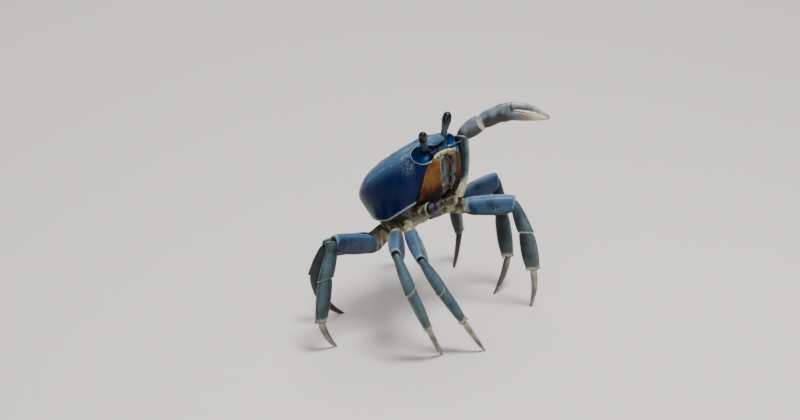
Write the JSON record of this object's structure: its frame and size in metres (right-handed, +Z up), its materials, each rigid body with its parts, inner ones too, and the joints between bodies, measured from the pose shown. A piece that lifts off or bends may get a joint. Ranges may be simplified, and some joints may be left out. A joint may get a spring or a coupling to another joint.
{
  "type": "land crab",
  "caption": "Life-size still model of a blue land crab, nose up on its walking legs, left claw raised, right claw shed.",
  "frame": {"origin": "on the floor, under the centre of the whole crab's box", "axes": "+Z up, +X towards the crab's left, -Y the way it faces"},
  "size_m": [0.2092, 0.1329, 0.1441],
  "materials": {
    "blue_shell": "polished deep blue shell",
    "cream_shell": "satin cream shell",
    "rust_shell": "satin rust-brown shell with fine hairs",
    "mouth_shell": "satin blue-grey shell with cream edges",
    "leg_shell": "steel-blue shell, satin with worn lighter patches",
    "foot_shell": "greenish cream shell with dark spines",
    "claw_shell": "grey-blue shell with cream fingers",
    "eye": "wet, almost black",
    "bud_skin": "smooth dark purple skin"
  },
  "bodies": {
    "root": {"carapace": "blue_shell", "sternum": "cream_shell", "abdomen": "cream_shell", "claw_left_base": "cream_shell", "claw_right_stump": "cream_shell", "cheek_right": "rust_shell", "maxilliped_right": "mouth_shell", "eyestalk_right": "leg_shell", "eye_right": "eye", "antenna_right": "leg_shell", "leg_right_2_hip": "cream_shell", "leg_right_2_merus": "leg_shell", "leg_right_2_carpus": "leg_shell", "leg_right_2_propodus": "leg_shell", "leg_right_2_dactyl": "foot_shell", "leg_right_3_hip": "cream_shell", "leg_right_3_merus": "leg_shell", "leg_right_3_carpus": "leg_shell", "leg_right_3_propodus": "leg_shell", "leg_right_3_dactyl": "foot_shell", "leg_right_4_hip": "cream_shell", "leg_right_4_merus": "leg_shell", "leg_right_4_carpus": "leg_shell", "leg_right_4_propodus": "leg_shell", "leg_right_4_dactyl": "foot_shell", "leg_right_5_hip": "cream_shell", "leg_right_5_merus": "leg_shell", "leg_right_5_carpus": "leg_shell", "leg_right_5_propodus": "leg_shell", "leg_right_5_dactyl": "foot_shell", "cheek_left": "rust_shell", "maxilliped_left": "mouth_shell", "eyestalk_left": "leg_shell", "eye_left": "eye", "antenna_left": "leg_shell", "leg_left_2_hip": "cream_shell", "leg_left_2_merus": "leg_shell", "leg_left_2_carpus": "leg_shell", "leg_left_2_propodus": "leg_shell", "leg_left_2_dactyl": "foot_shell", "leg_left_3_hip": "cream_shell", "leg_left_3_merus": "leg_shell", "leg_left_3_carpus": "leg_shell", "leg_left_3_propodus": "leg_shell", "leg_left_3_dactyl": "foot_shell", "leg_left_4_hip": "cream_shell", "leg_left_4_merus": "leg_shell", "leg_left_4_carpus": "leg_shell", "leg_left_4_propodus": "leg_shell", "leg_left_4_dactyl": "foot_shell", "leg_left_5_hip": "cream_shell", "leg_left_5_merus": "leg_shell", "leg_left_5_carpus": "leg_shell", "leg_left_5_propodus": "leg_shell", "leg_left_5_dactyl": "foot_shell", "claw_left_merus": "claw_shell", "claw_left_carpus": "claw_shell", "claw_left_palm": "claw_shell", "claw_left_finger": "claw_shell", "claw_right_bud": "bud_skin"}
  },
  "joints": []
}
